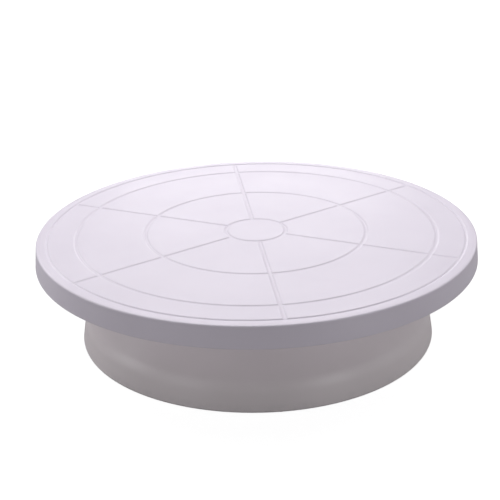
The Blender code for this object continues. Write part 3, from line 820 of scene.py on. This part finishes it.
def mixed(material, factor, first, second):
    """A colour between two; the first may be another colour's output."""
    if not isinstance(first, bpy.types.NodeSocket):
        first = (*first, 1)
    node = make_node(material, 'ShaderNodeMix', [(0, factor), (6, first), (7, (*second, 1))],
                     data_type='RGBA')
    return node.outputs[2]


def feed(material, colour, roughness, height, strength, distance):
    """Links a colour, a roughness and a bump to the finish's shader."""
    bump = make_node(material, 'ShaderNodeBump', [("Height", height), ("Strength", strength),
                                                  ("Distance", distance)])
    shader = material.node_tree.nodes["Principled BSDF"]
    for output, socket in ((colour, "Base Color"), (roughness, "Roughness"),
                           (bump.outputs["Normal"], "Normal")):
        material.node_tree.links.new(output, shader.inputs[socket])


def position(material):
    return make_node(material, 'ShaderNodeTexCoord').outputs["Object"]


def height_of(material, where):
    return make_node(material, 'ShaderNodeSeparateXYZ', [(0, where)]).outputs["Z"]


def radius_of(material, where):
    """Distance from the spin axis."""
    flat = make_node(material, 'ShaderNodeVectorMath', [(0, where), (1, (1, 1, 0))], operation='MULTIPLY')
    length = make_node(material, 'ShaderNodeVectorMath', [(0, flat.outputs[0])], operation='LENGTH')
    return length.outputs["Value"]


def plate_plastic():
    """Satin white moulded plastic with faint circular scuffs, and a little dust and painted shade darkening
    the lines.
    """
    finish = new_finish("plate_plastic", IOR=PLASTIC_IOR)
    where = position(finish)
    radius = radius_of(finish, where)
    level = height_of(finish, where)
    mottle = noise(finish, where, scale=18.0)
    grain = noise(finish, where, scale=2600.0, detail=2.0)
    flow = noise(finish, where, scale=60.0, detail=4.0)
    ring = make_node(finish, 'ShaderNodeCombineXYZ', [(0, radius)]).outputs[0]
    scuffs = maths(finish, 'MULTIPLY', noise(finish, ring, scale=1400.0, detail=6.0, roughness=0.8),
                   remapped(finish, flow, 0.45, 0.7, 0.0, 1.0))
    plain = mixed(finish, remapped(finish, mottle, 0.3, 0.7, 0.0, 1.0), PLATE_DARK, PLATE_PALE)
    # Dust and painted shade: the deck's sunk lines are tinted darker, more the deeper they go, clear of the
    # edge
    sunk = remapped(finish, level, PLATE_TOP - LINE_DEPTH, PLATE_TOP - DUST_SHADE_LIMIT, 1.0, 0.0)
    on_deck = maths(finish, 'MULTIPLY', maths(finish, 'GREATER_THAN', level, PLATE_TOP - DUST_SHADE_REACH),
                    maths(finish, 'LESS_THAN', radius, PLATE_RADIUS - DUST_SHADE_INSET))
    dust_and_shade = maths(finish, 'MULTIPLY', maths(finish, 'MULTIPLY', sunk, on_deck),
                  remapped(finish, flow, 0.2, 0.8, 0.02, 0.10))
    rough = maths(finish, 'ADD', remapped(finish, flow, 0.3, 0.7, 0.34, 0.42),
                  maths(finish, 'MULTIPLY', scuffs, 0.10))
    height = maths(finish, 'ADD', grain, maths(finish, 'MULTIPLY', scuffs, 0.4))
    feed(finish, mixed(finish, dust_and_shade, plain, DUST_AND_SHADE), rough, height, strength=0.06, distance=0.0001)
    return finish


def base_plastic():
    """The plate's plastic in a slightly warmer white, darker and rougher in patches towards the foot."""
    finish = new_finish("base_plastic", IOR=PLASTIC_IOR)
    where = position(finish)
    mottle = noise(finish, where, scale=14.0)
    grain = noise(finish, where, scale=2400.0, detail=2.0)
    rub = noise(finish, where, scale=140.0, detail=5.0, roughness=0.7)
    plain = mixed(finish, remapped(finish, mottle, 0.3, 0.7, 0.0, 1.0), BASE_DARK, BASE_PALE)
    # Patches of darker grey colour and higher roughness, strongest at the foot and fading out going up
    low_down = remapped(finish, height_of(finish, where), RING_FOOT, RING_FOOT + FOOT_PATCH_REACH, 1.0, 0.0)
    foot_patches = maths(finish, 'MULTIPLY', low_down, remapped(finish, rub, 0.45, 0.65, 0.0, 0.35))
    rough = maths(finish, 'ADD', remapped(finish, rub, 0.3, 0.7, 0.36, 0.44),
                  maths(finish, 'MULTIPLY', foot_patches, 0.3))
    feed(finish, mixed(finish, foot_patches, plain, FOOT_PATCH_GREY), rough, grain, strength=0.06, distance=0.0001)
    return finish


def metal(name, colour, low_rough, high_rough, turned):
    """Steel with fine marks, which run round the axis on a turned piece and at random on a tumbled one."""
    finish = new_finish(name, Metallic=1.0)
    where = position(finish)
    if turned:
        ring = make_node(finish, 'ShaderNodeCombineXYZ', [(0, radius_of(finish, where)),
                                                          (2, height_of(finish, where))])
        marks = noise(finish, ring.outputs[0], scale=9000.0, detail=5.0, roughness=0.7)
    else:
        marks = noise(finish, where, scale=2500.0, detail=5.0, roughness=0.7)
    stain = noise(finish, where, scale=220.0, detail=4.0)
    stained = tuple(STAIN_SHADE * value for value in colour)
    tint = mixed(finish, remapped(finish, stain, 0.35, 0.65, 0.0, 1.0), stained, colour)
    rough = maths(finish, 'ADD', remapped(finish, marks, 0.3, 0.7, low_rough, high_rough),
                  remapped(finish, stain, 0.3, 0.7, 0.0, 0.05))
    feed(finish, tint, rough, marks, strength=0.15, distance=0.00002)
    return finish


def race_steel():
    return metal("race_steel", (0.62, 0.62, 0.63), 0.24, 0.38, turned=True)


def ball_steel():
    return metal("ball_steel", (0.70, 0.70, 0.71), 0.06, 0.12, turned=False)


def turned_steel():
    return metal("turned_steel", (0.60, 0.60, 0.61), 0.20, 0.34, turned=True)


def zinc_plate():
    return metal("zinc_plate", (0.62, 0.63, 0.66), 0.26, 0.42, turned=False)


def moulded(name, dark, pale, low_rough, high_rough, grain_scale, bump):
    """Moulded plastic or rubber with drifting colour and a fine grain."""
    finish = new_finish(name)
    where = position(finish)
    drift = noise(finish, where, scale=180.0)
    grain = noise(finish, where, grain_scale, roughness=0.6)
    colour = mixed(finish, remapped(finish, drift, 0.3, 0.7, 0.0, 1.0), dark, pale)
    rough = remapped(finish, grain, 0.3, 0.7, low_rough, high_rough)
    feed(finish, colour, rough, grain, bump, distance=0.00005)
    return finish


def cage_nylon():
    return moulded("cage_nylon", (0.018, 0.018, 0.020), (0.030, 0.030, 0.034), 0.42, 0.58, 3000.0, 0.10)


def natural_acetal():
    return moulded("natural_acetal", (0.72, 0.70, 0.64), (0.80, 0.79, 0.74), 0.34, 0.48, 2600.0, 0.06)


def foot_rubber():
    return moulded("foot_rubber", (0.022, 0.022, 0.023), (0.040, 0.040, 0.042), 0.72, 0.90, 1800.0, 0.25)


# Camera, floor and light

# Where the camera stands round the middle, how it is aimed, and its lens, in degrees, metres and millimetres
CAMERA_AZIMUTH = 23.5
CAMERA_ELEVATION = 26.17
CAMERA_DISTANCE = 0.8048
CAMERA_PITCH = -22.54
CAMERA_YAW = 0.32
CAMERA_ROLL = -1.22
CAMERA_LENS = 87.79

# Soft lights: name, azimuth and elevation in degrees, distance and size in metres, and power in watts
LIGHTS = (("overhead", 180, 80, 1.6, 1.4, 6.6),
          ("rear_high", 180, 60, 1.6, 1.2, 11.0),
          ("rear_graze", 180, 14, 1.8, 0.7, 3.3),
          ("rear_left", -130, 35, 1.6, 1.0, 9.8),
          ("rear_right", 130, 35, 1.6, 1.0, 7.2),
          ("left_low", -85, 10, 1.6, 0.6, 4.5),
          ("right_low", 85, 10, 1.6, 0.6, 2.0),
          ("front_left_low", -45, 9, 1.8, 0.6, 2.8),
          ("front_right_low", 45, 9, 1.8, 0.6, 5.2),
          ("front_low", 0, 8, 1.8, 0.5, 1.1))

# The floor: its size, how pale it looks, how much it glows and how much light it throws back up
FLOOR_SIZE = 12.0
FLOOR_SEEN = 0.20
FLOOR_GLOW = 0.955
FLOOR_BOUNCE = 0.3


def outward(azimuth, elevation):
    """The direction from the middle to a place round it; azimuth runs anticlockwise from the front."""
    return Vector((math.sin(azimuth) * math.cos(elevation), -math.cos(azimuth) * math.cos(elevation),
                   math.sin(elevation)))


def make_camera():
    azimuth = math.radians(CAMERA_AZIMUTH)
    data = bpy.data.cameras.new("camera")
    data.lens = CAMERA_LENS
    data.clip_start = 0.01
    camera = bpy.data.objects.new("camera", data)
    bpy.context.scene.collection.objects.link(camera)
    stand = CAMERA_DISTANCE * outward(azimuth, math.radians(CAMERA_ELEVATION))
    camera.matrix_world = (Matrix.Translation(stand)
                           @ Matrix.Rotation(azimuth + math.radians(CAMERA_YAW), 4, 'Z')
                           @ Matrix.Rotation(math.radians(90 + CAMERA_PITCH), 4, 'X')
                           @ Matrix.Rotation(math.radians(CAMERA_ROLL), 4, 'Z'))
    bpy.context.scene.camera = camera


def seen_or_lighting(tree, seen, lighting, output):
    """Shows one shader to the camera and lights the scene with the other."""
    path = tree.nodes.new('ShaderNodeLightPath')
    mix = tree.nodes.new('ShaderNodeMixShader')
    tree.links.new(path.outputs["Is Camera Ray"], mix.inputs[0])
    tree.links.new(lighting.outputs[0], mix.inputs[1])
    tree.links.new(seen.outputs[0], mix.inputs[2])
    tree.links.new(mix.outputs[0], output.inputs["Surface"])


def make_floor():
    """Pale paper, lit from within like a light table so that only a faint shadow shows on it."""
    nothing_selected()
    bpy.ops.mesh.primitive_plane_add(size=FLOOR_SIZE)
    floor = bpy.context.object
    floor.name = "floor"
    paper = bpy.data.materials.new("floor_paper")
    paper.use_nodes = True
    tree = paper.node_tree
    glowing = tree.nodes["Principled BSDF"]
    glowing.inputs["Base Color"].default_value = (FLOOR_SEEN, FLOOR_SEEN, FLOOR_SEEN, 1)
    glowing.inputs["Roughness"].default_value = 1.0
    glowing.inputs["Specular IOR Level"].default_value = 0.0
    glowing.inputs["Emission Color"].default_value = (1, 1, 1, 1)
    glowing.inputs["Emission Strength"].default_value = FLOOR_GLOW
    plain = tree.nodes.new('ShaderNodeBsdfDiffuse')
    plain.inputs["Color"].default_value = (FLOOR_BOUNCE, FLOOR_BOUNCE, FLOOR_BOUNCE, 1)
    seen_or_lighting(tree, glowing, plain, tree.nodes["Material Output"])
    floor.data.materials.append(paper)


def soft_light(name, azimuth, elevation, distance, size, power):
    """A square light aimed at the middle; azimuth 0 is the camera's side and 90 is to its right."""
    data = bpy.data.lights.new(name, 'AREA')
    data.size = size
    data.energy = power
    light = bpy.data.objects.new(name, data)
    bpy.context.scene.collection.objects.link(light)
    towards_light = outward(math.radians(CAMERA_AZIMUTH + azimuth), math.radians(elevation))
    light.location = towards_light * distance
    light.rotation_euler = towards_light.to_track_quat('Z', 'Y').to_euler()


def make_lights():
    """The soft lights, and a world that is white behind everything and gives no light of its own."""
    for light in LIGHTS:
        soft_light(*light)
    world = bpy.data.worlds.new("studio")
    world.use_nodes = True
    tree = world.node_tree
    backdrop = tree.nodes["Background"]
    backdrop.inputs["Color"].default_value = (1, 1, 1, 1)
    unlit = tree.nodes.new('ShaderNodeBackground')
    unlit.inputs["Strength"].default_value = 0.0
    seen_or_lighting(tree, backdrop, unlit, tree.nodes["World Output"])
    bpy.context.scene.world = world
    bpy.context.scene.view_settings.view_transform = 'Standard'


make_camera()
make_floor()
make_lights()
make_plate()
make_base()
make_races()
make_cage()
make_balls()
make_spindle()
zinc = zinc_plate()
acetal = natural_acetal()
make_bushes(acetal)
make_washers(acetal, zinc)
make_screw(zinc)
make_feet()
